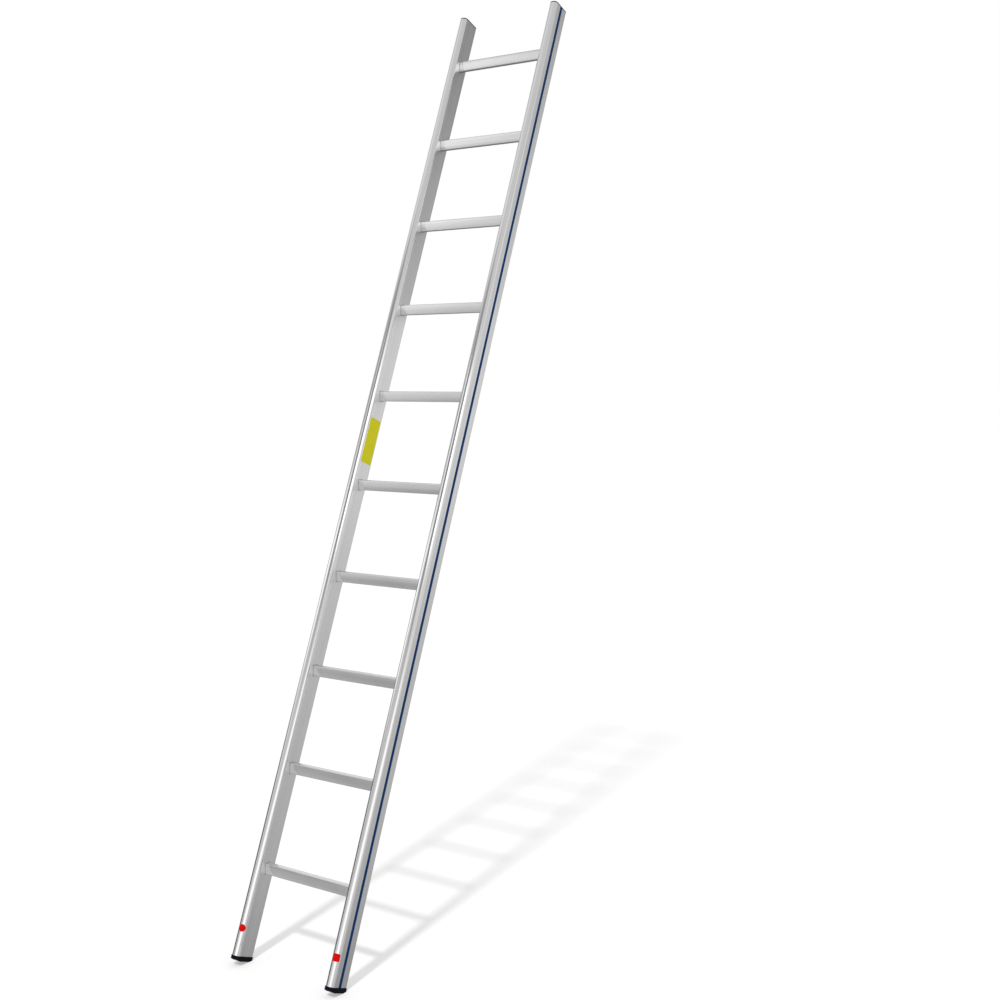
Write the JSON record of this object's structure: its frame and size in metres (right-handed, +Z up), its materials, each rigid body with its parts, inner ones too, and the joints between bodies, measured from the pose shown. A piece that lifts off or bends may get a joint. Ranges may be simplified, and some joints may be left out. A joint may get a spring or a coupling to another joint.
{
  "type": "single section ladder",
  "caption": "Straight leaning ladder of two hollow aluminium stiles joined by ribbed oblong rungs, with plug feet, end caps and a blue stripe down each side.",
  "frame": {"origin": "on the floor, midway between the two places where the feet touch it", "axes": "+Z up; +X along the rungs, to the climber's right; +Y back towards the wall that the ladder leans on"},
  "size_m": [0.37, 1.1314, 2.7474],
  "materials": {
    "stile_aluminium": "drawn extrusion, satin",
    "rung_aluminium": "drawn extrusion, satin",
    "foot_plastic": "moulded, matt",
    "cap_plastic": "moulded, matt",
    "stripe_blue": "smooth film",
    "marker_red": "smooth film",
    "label_yellow": "smooth film, blank"
  },
  "bodies": {
    "root": {"label_plate": "label_yellow", "left_foot": "foot_plastic", "left_marker": "marker_red", "left_stile": "stile_aluminium", "left_stripe": "stripe_blue", "left_top_cap": "cap_plastic", "right_foot": "foot_plastic", "right_marker": "marker_red", "right_stile": "stile_aluminium", "right_stripe": "stripe_blue", "right_top_cap": "cap_plastic", "rung_01": "rung_aluminium", "rung_02": "rung_aluminium", "rung_03": "rung_aluminium", "rung_04": "rung_aluminium", "rung_05": "rung_aluminium", "rung_06": "rung_aluminium", "rung_07": "rung_aluminium", "rung_08": "rung_aluminium", "rung_09": "rung_aluminium", "rung_10": "rung_aluminium"}
  },
  "joints": []
}
